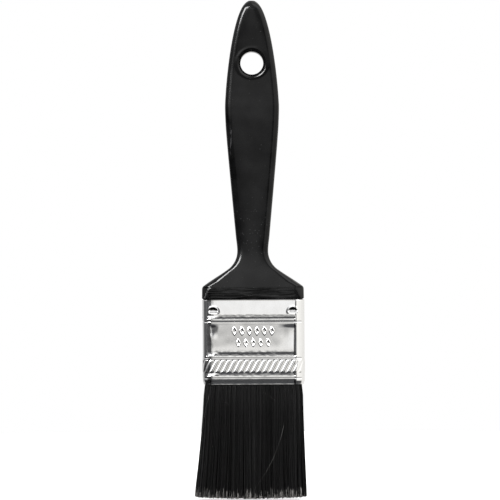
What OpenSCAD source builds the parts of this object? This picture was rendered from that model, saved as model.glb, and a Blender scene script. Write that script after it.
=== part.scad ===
// Flat paint brush, nominal width 38 mm, with a moulded plastic handle, a wrapped sheet-metal
// ferrule staked into the handle, and two banks of filament set in resin on either side of a plug.
//
// Frame: +Z runs up the handle, X across the width, Y through the depth, and -Y is the front face.
// The origin is the centre of the hanging hole. All sizes are in millimetres.

/* [Handle] */
// Height of the nose above the centre of the hanging hole
nose_above_hole = 23.7; // [20:0.1:30]
// Distance from the hanging hole down to the lower edge of the shoulder
hole_to_shoulder = 88.6; // [84:0.1:110]
// Distance from the nose down to the widest place of the grip
nose_to_belly = 40.4; // [36:0.1:48]
// Full width of the grip at its widest place
belly_w = 20.3; // [18:0.1:26]
// Full width of the neck above the shoulder
neck_w = 11.6; // [10:0.1:16]
// Full depth of the handle at the hanging hole
hole_d = 7.8; // [6:0.1:10]
// Full depth of the grip from its belly down to the neck
grip_d = 9.6; // [8:0.1:11]
// Radius of the hollow curve between the neck and the shoulder
neck_curve_r = 8.5; // [6:0.1:12]
// Slope of the shoulder, measured from the handle's axis
shoulder_slope = 56; // [45:1:62]
// Height of the straight band at the foot of the shoulder
shoulder_band = 4.6; // [3:0.1:8]
// Radius of the handle's long edges
edge_r = 2.1; // [1.2:0.1:2.8]
// Length of the tang that sits inside the ferrule
tang_l = 15; // [13:0.5:18]

/* [Hanging hole] */
// Diameter of the hanging hole
hang_hole_dia = 8.6; // [6:0.1:9]
// Width of the flare round the hole on each face
hole_rim = 1.6; // [0.8:0.1:2]
// Depth of the flare
hole_rim_depth = 1.2; // [0.6:0.1:1.6]

/* [Ferrule] */
// Nominal width of the brush, measured over the ferrule
brush_w = 38; // [34:0.5:50]
// Depth of the ferrule from front to back
ferrule_d = 12.6; // [11.5:0.1:16]
// Height of the ferrule
ferrule_h = 31.7; // [31:0.1:38]
// Outside radius of the ferrule's corners
ferrule_corner_r = 3.3; // [2.6:0.1:4]
// Thickness of the sheet
sheet = 0.35; // [0.3:0.05:0.5]
// How far the rolled beads stand out
bead_out = 0.3; // [0.15:0.05:0.5]
// Lean of the ribs in the rope pattern
rope_lean = 27; // [15:1:35]
// Distance from one rib of the rope pattern to the next
rope_pitch = 2.2; // [1.8:0.1:3]
// Radius of the staked tabs that lock the ferrule to the tang
stake_r = 1.8; // [1.2:0.1:1.9]
// Distance from the brush's axis to each staked tab
stake_x = 14.9; // [10:0.1:15]

/* [Filaments] */
// Free length of the filaments below the ferrule
free_len = 43.3; // [35:0.5:55]
// How far the tips spread past the ferrule on the left
spread_left = 3.5; // [0:0.1:5]
// How far the tips spread past the ferrule on the right
spread_right = 1.2; // [0:0.1:5]
// Full depth of the filament pack at its tips
tip_d = 8.0; // [5:0.1:11]
// Depth below the ferrule's mouth of the axis that the filaments flex about
flex_drop = 2.4; // [2.4:0.1:4]

/* [Core] */
// Height of the resin that binds the roots of the filaments
resin_h = 7; // [5:0.5:9]
// Depth to which the filament roots reach into the resin
root_in_resin = 4; // [2:0.5:4]
// Thickness of the plug between the two banks
plug_t = 2.6; // [1.5:0.1:4]

/* [Hidden] */
$fn = 48;

slip = 0.05;                       // gap between parts that are pressed or cast together
flex_gap = 0.1;                    // gap round the surface that the filaments flex in
big = 400;                         // larger than the whole brush, for the solids that trim others

// Inside of the ferrule
bore_w = brush_w - 2 * sheet;
bore_d = ferrule_d - 2 * sheet;
bore_r = ferrule_corner_r - sheet;

// Shoulder of the handle, which stands just proud of the ferrule
shoulder_w = brush_w + 0.2;
shoulder_d = ferrule_d + 0.5;
shoulder_corner_r = 1.5;           // rounding where the slope meets the band, seen from the front
foot_chamfer = 0.5;                // small chamfer round the lower edge of the shoulder

// The slope of the shoulder, split into the hollow curve and the straight run below it
curve_out = neck_curve_r * (1 - cos(shoulder_slope));
curve_down = neck_curve_r * sin(shoulder_slope);
straight_out = (shoulder_w - neck_w) / 2 - curve_out;
straight_down = straight_out / tan(shoulder_slope);

// Heights from the nose down to the tips
nose_z = nose_above_hole;
belly_z = nose_z - nose_to_belly;
shoulder_z = -hole_to_shoulder;
neck_z = shoulder_z + shoulder_band + straight_down + curve_down;
ferrule_top_z = shoulder_z - 0.2;
mouth_z = ferrule_top_z - ferrule_h;
tang_z = shoulder_z - tang_l;
resin_z = tang_z - resin_h;
flex_z = mouth_z - flex_drop;
tip_z = mouth_z - free_len;

// ---------------------------------------------------------------- shared shapes

module rounded_rect(w, d, r) {
    square([w - 2 * r, d], center = true);
    square([w, d - 2 * r], center = true);
    for (x = [-1, 1]) for (y = [-1, 1])
        translate([x * (w / 2 - r), y * (d / 2 - r)]) circle(r);
}

// A cylinder lying through the depth of the brush, with its middle at the origin
module cross_cylinder(r, l) {
    rotate([90, 0, 0]) cylinder(h = l, r = r, center = true);
}

// The space inside the ferrule between two heights, less a slip all round
module bore_fill(low_z, high_z) {
    translate([0, 0, low_z])
        linear_extrude(high_z - low_z) rounded_rect(bore_w - 2 * slip, bore_d - 2 * slip, bore_r - slip);
}

// ---------------------------------------------------------------- handle

// Eases from 0 to 1 as t goes from 0 to 1
function clamped(t) = max(0, min(1, t));
function ease(t) = let (c = clamped(t)) c * c * (3 - 2 * c);

// Half width of the nose at a distance d below its top: a blunt curve that is level at the belly
nose_rise = 1.4;
nose_bluntness = 0.44;
function nose_half_w(d) = belly_w / 2 * pow(1 - pow(1 - d / nose_to_belly, nose_rise), nose_bluntness);

// Half width at a distance u below the belly: a hyperbola that starts level and becomes the taper
taper_rounding = 8;
taper_l = belly_z - neck_z;
function hyperbola(u) = sqrt(u * u + taper_rounding * taper_rounding) - taper_rounding;
function taper_half_w(u) = belly_w / 2 - (belly_w - neck_w) / 2 * hyperbola(u) / hyperbola(taper_l);

// The crease across the shoulder lies at the middle of the rounded corner
corner_drop = shoulder_corner_r * tan(shoulder_slope / 2);
corner_z = shoulder_z + shoulder_band - corner_drop;
crease_z = corner_z + shoulder_corner_r * sin(shoulder_slope / 2);

// Half depth at a height: round at the nose, thicker towards the grip, flared to the crease
nose_round_l = 3.8;
thickening_l = 25;
flare_start_z = neck_z + 4;
flare_hollow = 1.7;
function half_depth(z) =
    let (below_nose = clamped((nose_z - z) / nose_round_l),
         below_hole = -z / thickening_l,
         down_flare = clamped((flare_start_z - z) / (flare_start_z - crease_z)),
         plain = hole_d / 2 + (grip_d - hole_d) / 2 * ease(below_hole))
    plain * sqrt(1 - pow(1 - below_nose, 2)) + (shoulder_d - grip_d) / 2 * pow(down_flare, flare_hollow);

// Edge radius in a level section: the long edges widen into the corners of the shoulder
function section_r(z) = edge_r + (ferrule_corner_r - edge_r) * ease((neck_z - z) / curve_down);

// Outline of the handle from the foot up to the nose, as [height, half width]
foot = [[shoulder_z, shoulder_w / 2 - foot_chamfer], [shoulder_z + foot_chamfer, shoulder_w / 2]];
corner = [for (i = [0:4]) let (a = shoulder_slope * i / 4)
    [corner_z + shoulder_corner_r * sin(a), shoulder_w / 2 - shoulder_corner_r * (1 - cos(a))]];
hollow = [for (i = [7:-1:0]) let (a = shoulder_slope * i / 7)
    [neck_z - neck_curve_r * sin(a), neck_w / 2 + neck_curve_r * (1 - cos(a))]];
taper = [for (i = [8:-1:0]) let (u = taper_l * i / 9) [belly_z - u, taper_half_w(u)]];
nose_steps = 13;
nose_end = 0.97;                   // share of the nose that is drawn: it ends in a small flat
nose_crowding = 1.8;               // above 1, steps get closer towards the top
nose = [for (i = [1:nose_steps]) let (d = nose_to_belly * pow(1 - nose_end * i / nose_steps, nose_crowding))
    [nose_z - d, nose_half_w(d)]];
outline = concat(foot, corner, hollow, taper, nose);

// Points of a level section with rounded corners
corner_steps = 5;
function section(z, half_w) =
    let (chamfer = max(0, shoulder_z + foot_chamfer - z),
         half_d = half_depth(z) - chamfer,
         r = min(section_r(z), half_w * 0.96, half_d * 0.96))
    [for (q = [0:3]) for (i = [0:corner_steps])
        let (a = 90 * (q + i / corner_steps),
             sx = q == 0 || q == 3 ? 1 : -1,
             sy = q < 2 ? 1 : -1)
        [sx * (half_w - r) + r * cos(a), sy * (half_d - r) + r * sin(a), z]];

// Solid through a stack of sections that all have n points
module skin(sections, n) {
    last = len(sections) - 1;
    polyhedron(
        points = [for (s = sections) each s],
        faces = concat(
            [[for (i = [0:n - 1]) i]],
            [for (k = [0:last - 1]) for (i = [0:n - 1]) let (a = k * n + i, b = k * n + (i + 1) % n)
                each [[a, a + n, b], [b, a + n, b + n]]],
            [[for (i = [n - 1:-1:0]) last * n + i]]));
}

module grip() {
    skin([for (p = outline) section(p[0], p[1])], 4 * (corner_steps + 1));
}

module hanging_hole() {
    r = hang_hole_dia / 2;
    cross_cylinder(r, 2 * grip_d);
    for (side = [-1, 1])
        rotate([90 * side, 0, 0])
            translate([0, 0, hole_d / 2 - hole_rim_depth])
                cylinder(h = 2 * hole_rim_depth, r1 = r, r2 = r + 2 * hole_rim);
}

// The tang fills the ferrule, is cored from below, and has a pocket under each staked tab
cores = 3;
core_wall = 2.2;
core_l = tang_l - 7;
stake_pocket_depth = 2.1;
module tang() {
    tang_w = bore_w - 2 * slip;
    tang_d = bore_d - 2 * slip;
    core_w = (tang_w - (cores + 1) * core_wall) / cores;
    difference() {
        bore_fill(tang_z, shoulder_z + 1);
        for (i = [0:cores - 1])
            translate([core_wall - tang_w / 2 + i * (core_w + core_wall), core_wall - tang_d / 2, tang_z - 1])
                cube([core_w, tang_d - 2 * core_wall, core_l + 1]);
        at_stakes() cross_cylinder(stake_r + 0.2, 2 * stake_pocket_depth);
    }
}

module handle() {
    color([0.07, 0.07, 0.075]) union() {
        difference() {
            grip();
            hanging_hole();
        }
        tang();
    }
}

// ---------------------------------------------------------------- ferrule

// Heights and widths of the pressed bands
upper_bead_z = ferrule_top_z - 8.1;
middle_bead_z = mouth_z + 10.0;
lower_bead_z = mouth_z + 2.7;
bead_w = 1.5;
rope_z = mouth_z + 6.9;
rope_w = 4.6;
rib_r = 0.78;
rib_out = 0.35;                    // how far the ribs stand out of the sheet

// Staked tabs: each is the upper part of a disc, cut free round its arc and folded in at its chord
stake_z = ferrule_top_z - 4.5;
stake_chord = -0.6;                // height of the fold from the disc's centre
stake_fold = 30;                   // angle of the fold
kerf = 0.1;                        // gap left round the tab by the cut

// Decoration on the panel: each row is [gaps between lozenges, height above the panel's middle,
// width of a lozenge, height of a lozenge]
mark_z = (upper_bead_z + middle_bead_z) / 2;
mark_rows = [[5, 3.2, 2.3, 4.0], [4, -1.2, 2.1, 3.6]];
mark_pitch = 2.8;

seam_w = 4.2;                      // width of the lapped seam on the right-hand side

// Places its children on the outside of the sheet at the four staked tabs, with -Y pointing out
module at_stakes() {
    for (x = [-1, 1]) for (turn = [0, 180])
        rotate([0, 0, turn]) translate([x * stake_x, -ferrule_d / 2, stake_z]) children();
}

// The half plane above the fold of a staked tab
module above_fold(lift) {
    translate([-big / 2, -big / 2, stake_chord + lift]) cube(big);
}

// One rolled band round the sheet, as a low wide step under a narrower high one
module rolled_bead(z) {
    for (step = [[bead_w, bead_out / 2], [bead_w * 0.6, bead_out]])
        translate([0, 0, z - step[0] / 2])
            linear_extrude(step[0])
                rounded_rect(brush_w + 2 * step[1], ferrule_d + 2 * step[1], ferrule_corner_r + step[1]);
}

// Leaning ribs along one flat face that is span wide and lies a distance away from the axis
module rope_ribs(span, away) {
    gaps = floor(span / rope_pitch);
    for (i = [0:gaps])
        translate([(i - gaps / 2) * rope_pitch, rib_r - rib_out - away, rope_z])
            rotate([0, rope_lean, 0]) cylinder(h = rope_w, r = rib_r, center = true, $fn = 24);
}

module rope_band() {
    for (turn = [0, 180])
        rotate([0, 0, turn]) rope_ribs(brush_w - 2 * ferrule_corner_r, ferrule_d / 2);
    for (turn = [90, 270])
        rotate([0, 0, turn]) rope_ribs(ferrule_d - 2 * ferrule_corner_r, brush_w / 2);
}

module lozenge(w, h) {
    polygon([[w / 2, 0], [0, h / 2], [-w / 2, 0], [0, -h / 2]]);
}

// Two short rows of raised lozenges on the front, a plain decoration
module lozenge_mark() {
    for (row = mark_rows) for (i = [0:row[0]])
        translate([(i - row[0] / 2) * mark_pitch, sheet / 2 - ferrule_d / 2, mark_z + row[1]])
            rotate([90, 0, 0]) linear_extrude(sheet / 2 + bead_out / 2) lozenge(row[2], row[3]);
}

module lapped_seam() {
    translate([brush_w / 2 - sheet, -seam_w / 2, mouth_z]) cube([2 * sheet, seam_w, ferrule_h]);
}

module staked_tab() {
    translate([0, sheet / 2, stake_chord]) rotate([-stake_fold, 0, 0]) translate([0, 0, -stake_chord])
        intersection() {
            cross_cylinder(stake_r - kerf, sheet);
            above_fold(-sheet / 2);
        }
}

module ferrule() {
    color([0.82, 0.82, 0.81]) {
        difference() {
            union() {
                translate([0, 0, mouth_z])
                    linear_extrude(ferrule_h) rounded_rect(brush_w, ferrule_d, ferrule_corner_r);
                for (z = [upper_bead_z, middle_bead_z, lower_bead_z]) rolled_bead(z);
                rope_band();
                lozenge_mark();
                lapped_seam();
            }
            translate([0, 0, mouth_z - 1])
                linear_extrude(ferrule_h + 2) rounded_rect(bore_w, bore_d, bore_r);
            at_stakes() intersection() {
                cross_cylinder(stake_r, 4 * sheet);
                above_fold(0);
            }
        }
        at_stakes() staked_tab();
    }
}

// ---------------------------------------------------------------- core

barrel_r = bore_d / 2 - slip - flex_gap;

// The plug reaches from inside the resin to just above the flexing part of the filaments
plug_w = bore_w - 5;
plug_top_z = resin_z + root_in_resin + 1.5;
plug_bottom_z = flex_z + barrel_r + 1;
module plug_shape(gap) {
    translate([-plug_w / 2 - gap, -plug_t / 2 - gap, plug_bottom_z - gap])
        cube([plug_w + 2 * gap, plug_t + 2 * gap, plug_top_z - plug_bottom_z + 2 * gap]);
}

// The block of roots of one bank that is set in the resin, on side -1 (front) or 1 (back)
resin_rim = 0.6;
module set_roots(side, gap) {
    w = bore_w - 2 * bore_r + 2 * gap;
    d = (bore_d - plug_t) / 2 - 2 * resin_rim;
    translate([-w / 2, side * (plug_t + d) / 2 + side * resin_rim - d / 2 - gap, resin_z - 1])
        cube([w, d + 2 * gap, root_in_resin + 1 + gap]);
}

module spacer_plug() {
    color([0.78, 0.62, 0.42]) plug_shape(0);
}

module resin_setting() {
    color([0.85, 0.6, 0.2, 0.8]) difference() {
        bore_fill(resin_z, tang_z - slip);
        plug_shape(slip);
        for (side = [-1, 1]) set_roots(side, slip);
    }
}

// ---------------------------------------------------------------- filaments

// Everything on one side of the brush, -1 for the front and 1 for the back
module half_space(side) {
    translate([-big / 2, side > 0 ? slip : -slip - big, -big]) cube([big, big, 2 * big]);
}

// The inside of the mouth turned about the flex axis, so that it can rock there without binding
module flex_barrel(gap) {
    w = bore_w - 2 * slip + 2 * gap;
    translate([0, 0, flex_z]) rotate([0, 90, 0])
        rotate_extrude() rotate(90) intersection() {
            rounded_rect(w, 2 * (barrel_r + gap), bore_r - slip);
            translate([-w, 0]) square([2 * w, w]);
        }
}

// Roots of one bank, from the resin down to the surface that the free part rocks on
module filament_roots(side) {
    color([0.1, 0.1, 0.1]) difference() {
        intersection() {
            union() {
                bore_fill(mouth_z, resin_z - slip);
                set_roots(side, 0);
            }
            half_space(side);
        }
        plug_shape(slip);
        flex_barrel(flex_gap);
    }
}

// The spreading pack below the flex axis, which narrows in depth towards the tips
module free_pack() {
    slice = 0.1;
    top_w = bore_w - 2 * slip - 2 * flex_gap;
    top_d = 2 * (barrel_r - flex_gap);
    r = bore_r - slip;
    hull() {
        translate([0, 0, flex_z]) linear_extrude(slice) rounded_rect(top_w, top_d, r, $fn = 24);
        translate([(spread_right - spread_left) / 2, 0, tip_z])
            linear_extrude(slice) rounded_rect(top_w + spread_left + spread_right, tip_d, r, $fn = 24);
    }
}

module free_filaments(side) {
    color([0.08, 0.08, 0.08]) intersection() {
        union() {
            flex_barrel(0);
            free_pack();
        }
        half_space(side);
    }
}

handle();
ferrule();
resin_setting();
spacer_plug();
filament_roots(-1);  // front_filament_roots
filament_roots(1);  // back_filament_roots
free_filaments(-1);  // front_filaments
free_filaments(1);  // back_filaments
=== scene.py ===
"""Flat paint brush: the looks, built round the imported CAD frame.

Shapes are worked out in millimetres in the CAD's own frame (+Z up the handle, -Y out of the front
face, origin at the centre of the hanging hole) and turned into metres when a mesh is made.
"""

import math

import bpy
import numpy as np
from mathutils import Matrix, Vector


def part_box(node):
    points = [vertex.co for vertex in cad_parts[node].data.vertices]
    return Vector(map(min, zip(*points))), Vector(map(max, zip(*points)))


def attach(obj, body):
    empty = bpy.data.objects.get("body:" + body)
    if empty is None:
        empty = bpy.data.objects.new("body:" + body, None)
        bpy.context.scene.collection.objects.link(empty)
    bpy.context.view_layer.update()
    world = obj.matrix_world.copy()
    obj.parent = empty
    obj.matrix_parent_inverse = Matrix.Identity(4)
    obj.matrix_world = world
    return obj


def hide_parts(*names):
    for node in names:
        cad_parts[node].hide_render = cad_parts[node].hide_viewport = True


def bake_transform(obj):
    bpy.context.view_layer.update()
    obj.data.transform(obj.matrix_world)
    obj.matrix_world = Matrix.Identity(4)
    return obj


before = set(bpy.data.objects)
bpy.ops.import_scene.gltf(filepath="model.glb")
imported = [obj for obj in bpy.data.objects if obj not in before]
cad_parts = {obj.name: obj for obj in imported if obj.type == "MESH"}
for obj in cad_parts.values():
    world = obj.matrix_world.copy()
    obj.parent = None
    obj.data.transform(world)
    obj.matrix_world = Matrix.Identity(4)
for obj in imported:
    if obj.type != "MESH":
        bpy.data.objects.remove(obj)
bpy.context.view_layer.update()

MM = 0.001


# ---- measures from the frame, in mm

def box_mm(node):
    """Lowest and highest corner of a CAD node, in millimetres."""
    low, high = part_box(node)
    return np.array(low) / MM, np.array(high) / MM


SHEET = 0.35          # thickness of the ferrule's sheet
SLIP = 0.05           # gap between the ferrule and what fills it

handle_low, handle_high = box_mm("handle")
ferrule_low, ferrule_high = box_mm("ferrule")
resin_low, resin_high = box_mm("resin_setting")
free_low, free_high = box_mm("front_filaments")

FERRULE_TOP = ferrule_high[2]
MOUTH = ferrule_low[2]
TIPS = free_low[2]
HALF_W = resin_high[0] + SLIP + SHEET  # half width over the ferrule's plain sheet
HALF_D = resin_high[1] + SLIP + SHEET
CORNER_R = 3.3                         # outer radius of the ferrule's four corners
SHOULDER_FOOT = FERRULE_TOP + 0.2      # lower edge of the handle's shoulder


# ---- curves and meshes

def ease(low, high, x):
    """Goes smoothly from 0 at low to 1 at high."""
    t = np.clip((x - low) / (high - low), 0, 1)
    return t * t * (3 - 2 * t)


def curve(xs, ys, x):
    """A smooth curve through the points (xs, ys) that never overshoots them."""
    xs, ys = np.asarray(xs, float), np.asarray(ys, float)
    steps, slopes = np.diff(xs), np.diff(ys) / np.diff(xs)
    tangents = np.zeros_like(ys)
    before, after = slopes[:-1], slopes[1:]
    turning = before * after > 0
    tangents[1:-1][turning] = 2 * before[turning] * after[turning] / (before + after)[turning]
    tangents[0], tangents[-1] = slopes[0], slopes[-1]
    i = np.clip(np.searchsorted(xs, x) - 1, 0, len(xs) - 2)
    t = (x - xs[i]) / steps[i]
    t2, t3 = t * t, t * t * t
    return ((2 * t3 - 3 * t2 + 1) * ys[i] + (t3 - 2 * t2 + t) * steps[i] * tangents[i]
            + (3 * t2 - 2 * t3) * ys[i + 1] + (t3 - t2) * steps[i] * tangents[i + 1])


def on_circle(angle):
    """Points of the unit circle, as x and y."""
    return np.stack([np.cos(angle), np.sin(angle)], -1)


def ripple(u, v, size, seed, period=None):
    """Smooth random ripples of about the given size, between -1 and 1, repeating in u after period."""
    rng = np.random.default_rng(seed)
    total = np.zeros(np.broadcast(u, v).shape)
    waves = 14
    for _ in range(waves):
        heading = rng.uniform(0, math.pi)
        turns = rng.uniform(0.6, 1.5) / size
        along, across = turns * math.cos(heading), turns * math.sin(heading)
        if period is not None:
            along = round(along * period) / period
        total += np.cos(2 * math.pi * (along * u + across * v + rng.random()))
    return total / math.sqrt(waves) / 1.6


def linked(name, data):
    """A new object in the scene."""
    obj = bpy.data.objects.new(name, data)
    bpy.context.scene.collection.objects.link(obj)
    return obj


def new_object(name, points, quads, triangles=None):
    """A smooth closed mesh from points in mm, with its faces turned outwards."""
    if triangles is None:
        triangles = np.empty((0, 3), int)
    cut = np.concatenate([quads[:, [0, 1, 2]], quads[:, [0, 2, 3]], triangles])
    a, b, c = points[cut[:, 0]], points[cut[:, 1]], points[cut[:, 2]]
    if np.einsum("ij,ij->i", a, np.cross(b, c)).sum() < 0:
        quads, triangles = quads[:, ::-1], triangles[:, ::-1]
    corners = np.concatenate([quads.ravel(), triangles.ravel()]).astype(np.int32)
    sizes = np.concatenate([np.full(len(quads), 4), np.full(len(triangles), 3)])
    mesh = bpy.data.meshes.new(name)
    mesh.vertices.add(len(points))
    mesh.vertices.foreach_set("co", (points * MM).astype(np.float32).ravel())
    mesh.loops.add(len(corners))
    mesh.loops.foreach_set("vertex_index", corners)
    mesh.polygons.add(len(sizes))
    mesh.polygons.foreach_set("loop_start", (np.cumsum(sizes) - sizes).astype(np.int32))
    mesh.polygons.foreach_set("use_smooth", np.ones(len(sizes), bool))
    mesh.update(calc_edges=True)
    mesh.validate()
    return linked(name, mesh)


def strip_faces(rows, columns):
    """Quads between neighbouring rings of points."""
    column = np.arange(columns)
    after = (column + 1) % columns
    start = (np.arange(rows - 1) * columns)[:, None]
    quads = np.stack([start + column, start + after, start + columns + after, start + columns + column], -1)
    return quads.reshape(-1, 4)


def fan_faces(ring, centre):
    """Triangles from a ring of point numbers to one centre point."""
    return np.stack([ring, np.roll(ring, -1), np.full(len(ring), centre)], -1)


def rings_object(name, rings):
    """A solid through rings of points, an array of shape (rings, points, 3), closed at both ends."""
    count, columns = rings.shape[:2]
    points = rings.reshape(-1, 3)
    ring = np.arange(columns)
    first = count * columns
    points = np.concatenate([points, [rings[0].mean(0), rings[-1].mean(0)]])
    triangles = np.concatenate([fan_faces(ring[::-1], first), fan_faces(ring + first - columns, first + 1)])
    return new_object(name, points, strip_faces(count, columns), triangles)


def cut(obj, *cutters):
    """Takes the cutters away from obj and removes them."""
    for cutter in cutters:
        tool = obj.modifiers.new("cut", "BOOLEAN")
        tool.operation, tool.solver, tool.object = "DIFFERENCE", "EXACT", cutter
        graph = bpy.context.evaluated_depsgraph_get()
        mesh = bpy.data.meshes.new_from_object(obj.evaluated_get(graph), depsgraph=graph)
        obj.modifiers.clear()
        obj.data = mesh
        bpy.data.objects.remove(cutter)


def join(obj, *others):
    """Adds the meshes of the other objects to obj and removes those objects."""
    with bpy.context.temp_override(active_object=obj, selected_editable_objects=[obj, *others]):
        bpy.ops.object.join()


# ---- materials

def new_material(name):
    """A material with a Principled shader: (material, its node tree, the shader)."""
    material = bpy.data.materials.new(name)
    material.use_nodes = True
    return material, material.node_tree, material.node_tree.nodes["Principled BSDF"]


def feed(tree, node, inputs):
    """Fills a node's inputs. One given as a socket is linked, and any other value is set."""
    for key, value in inputs.items():
        if isinstance(value, bpy.types.NodeSocket):
            tree.links.new(value, node.inputs[key])
        else:
            node.inputs[key].default_value = value


def add(tree, kind, inputs=None, **settings):
    """A new node with its settings and inputs."""
    made = tree.nodes.new("ShaderNode" + kind)
    for key, value in settings.items():
        setattr(made, key, value)
    feed(tree, made, inputs or {})
    return made


def math_node(tree, operation, first, second=0.0, third=0.0):
    """The result of one sum on values or sockets."""
    return add(tree, "Math", {0: first, 1: second, 2: third}, operation=operation).outputs[0]


def stretch(tree, value, low, high, to_low=0.0, to_high=1.0):
    """A value taken from one range to another, held at the ends."""
    ranges = {"Value": value, "From Min": low, "From Max": high, "To Min": to_low, "To Max": to_high}
    return add(tree, "MapRange", ranges).outputs[0]


def product(tree, *values):
    """Values or sockets multiplied together."""
    total = values[0]
    for value in values[1:]:
        total = math_node(tree, "MULTIPLY", total, value)
    return total


def near(tree, value, middle, full, end):
    """1 within full of the middle, falling to 0 at end away from it."""
    away = math_node(tree, "ABSOLUTE", math_node(tree, "SUBTRACT", value, middle))
    return stretch(tree, away, full, end, 1, 0)


def opaque(colour):
    """A colour with its alpha, or a socket as it is."""
    return colour if isinstance(colour, bpy.types.NodeSocket) else (*colour, 1)


def mix(tree, share, first, second):
    """From the first colour to the second as share goes from 0 to 1."""
    inputs = {"Factor": share, 6: opaque(first), 7: opaque(second)}
    return add(tree, "Mix", inputs, data_type="RGBA").outputs[2]


def combine(tree, kind, first, second):
    """Two colours multiplied ("MULTIPLY") or added ("ADD")."""
    inputs = {"Factor": 1.0, 6: first, 7: second}
    return add(tree, "Mix", inputs, data_type="RGBA", blend_type=kind).outputs[2]


def noise(tree, size_mm, detail=2.0, squeeze=(1, 1, 1)):
    """Noise in the row frame with features of about size_mm, squeezed along each axis."""
    place = add(tree, "TexCoord").outputs["Object"]
    scaled = add(tree, "Mapping", {"Vector": place, "Scale": squeeze}).outputs[0]
    inputs = {"Vector": scaled, "Scale": 1 / (size_mm * MM), "Detail": detail}
    return add(tree, "TexNoise", inputs).outputs[0]


def bump(tree, height, depth_mm, strength=1.0, under=None):
    """A normal bent by a height that stands for depth_mm, on top of the bump under it."""
    inputs = {"Height": height, "Distance": depth_mm * MM, "Strength": strength}
    if under is not None:
        inputs["Normal"] = under
    return add(tree, "Bump", inputs).outputs[0]


NECK_Z = -64          # heights of the dusty neck and of the scuffed stretch of the left edge
SCUFF_Z = -29
SCUFF_X = -8.0
BAND_FLAT = 15.5      # half width of the flat part of the shoulder's band
DUST = (0.06, 0.06, 0.062)


def dust_specks(tree, place, height):
    """1 on rare round specks, which are commoner round the neck."""
    cells = add(tree, "TexVoronoi", {"Vector": place, "Scale": 1 / (0.48 * MM)})
    specks = stretch(tree, cells.outputs["Distance"], 0.16, 0.34, 1, 0)
    chance = add(tree, "SeparateColor", {0: cells.outputs["Color"]}).outputs[0]
    neck = near(tree, height, NECK_Z * MM, 6 * MM, 10 * MM)
    likely = math_node(tree, "ADD", chance, product(tree, neck, 0.1))
    return product(tree, specks, stretch(tree, likely, 0.99, 1.0))


def edge_scuffs(tree, across, height):
    """1 on the worn grains of the left edge's scuffed stretch."""
    part = near(tree, height, SCUFF_Z * MM, 3 * MM, 6 * MM)
    edge = near(tree, across, SCUFF_X * MM, 0.2 * MM, 0.5 * MM)
    grains = stretch(tree, noise(tree, 0.4, 4, (1, 1, 0.25)), 0.52, 0.62)
    return product(tree, part, edge, grains)


def plastic():
    """Satin black moulded plastic: patches, grain, dust specks, a scuff and streaks on the band."""
    material, tree, shader = new_material("black_plastic")
    patches = noise(tree, 9, 5)
    grain = noise(tree, 0.45, 3)
    place = add(tree, "TexCoord").outputs["Object"]
    across, _, height = add(tree, "SeparateXYZ", {0: place}).outputs

    flow = noise(tree, 0.9, 3, (0.12, 1, 1))
    band_top = SHOULDER_FOOT + SHOULDER_BAND
    below = stretch(tree, height, (band_top - 0.5) * MM, band_top * MM, 1, 0)
    on_band = product(tree, below, near(tree, across, 0, BAND_FLAT * MM, (BAND_FLAT + 2) * MM))
    streaks = product(tree, on_band, stretch(tree, flow, 0.48, 0.66))

    patchy = stretch(tree, patches, 0.35, 0.65)
    colour = mix(tree, patchy, (0.0005, 0.0005, 0.0006), (0.007, 0.007, 0.0072))
    colour = mix(tree, dust_specks(tree, place, height), colour, DUST)
    colour = mix(tree, edge_scuffs(tree, across, height), colour, DUST)
    colour = mix(tree, streaks, colour, (0.014, 0.014, 0.0142))

    rough = stretch(tree, patches, 0.3, 0.7, 0.1, 0.15)
    rough = math_node(tree, "ADD", rough, stretch(tree, grain, 0.3, 0.7, -0.02, 0.03))
    normal = bump(tree, noise(tree, 14), 0.06)
    normal = bump(tree, grain, 0.003, 0.8, normal)
    normal = bump(tree, product(tree, flow, on_band), 0.2, 1.0, normal)
    feed(tree, shader, {"Base Color": colour, "Roughness": rough, "Normal": normal,
                        "Specular IOR Level": 0.19})
    return material


def tinplate():
    """Bright rolled tinplate: fine rolling lines down the sheet, faint smears and a slight waviness."""
    material, tree, shader = new_material("bright_tinplate")
    lines = noise(tree, 0.12, 3, (1, 1, 0.06))
    smears = noise(tree, 3.5, 3, (1, 1, 0.6))
    colour = mix(tree, stretch(tree, smears, 0.35, 0.7), (0.93, 0.93, 0.93), (0.9, 0.9, 0.9))
    smeared = stretch(tree, smears, 0.35, 0.7, 0.06, 0.1)
    rough = math_node(tree, "ADD", smeared, stretch(tree, lines, 0.3, 0.7, -0.01, 0.02))
    normal = bump(tree, smears, 0.004)
    normal = bump(tree, lines, 0.0006, 0.6, normal)
    feed(tree, shader, {"Base Color": colour, "Roughness": rough, "Normal": normal, "Metallic": 1.0})
    return material


def filament():
    """Black drawn filament. The mesh says how light each filament is, and how pale its split end is; on the
    loose filaments that paleness is a painted highlight.
    """
    material, tree, shader = new_material("black_filament")
    shade = add(tree, "Attribute", attribute_name="shade").outputs["Fac"]
    pale = add(tree, "Attribute", attribute_name="pale").outputs["Fac"]
    black = mix(tree, shade, (0.0004, 0.0004, 0.0006), (0.0165, 0.0165, 0.017))
    colour = mix(tree, pale, black, (0.5, 0.48, 0.465))
    rough = stretch(tree, pale, 0, 1, 0.42, 0.65)
    feed(tree, shader, {"Base Color": colour, "Roughness": rough, "Specular IOR Level": 0.17})
    return material


def cast_resin():
    """Amber cast resin with drifts of darker colour and a slightly rippled skin."""
    material, tree, shader = new_material("amber_resin")
    drifts = noise(tree, 4, 3)
    colour = mix(tree, stretch(tree, drifts, 0.3, 0.7), (0.55, 0.33, 0.1), (0.36, 0.19, 0.05))
    rough = stretch(tree, drifts, 0.3, 0.7, 0.18, 0.32)
    normal = bump(tree, noise(tree, 1.2), 0.05)
    feed(tree, shader, {"Base Color": colour, "Roughness": rough, "Normal": normal})
    return material


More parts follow.
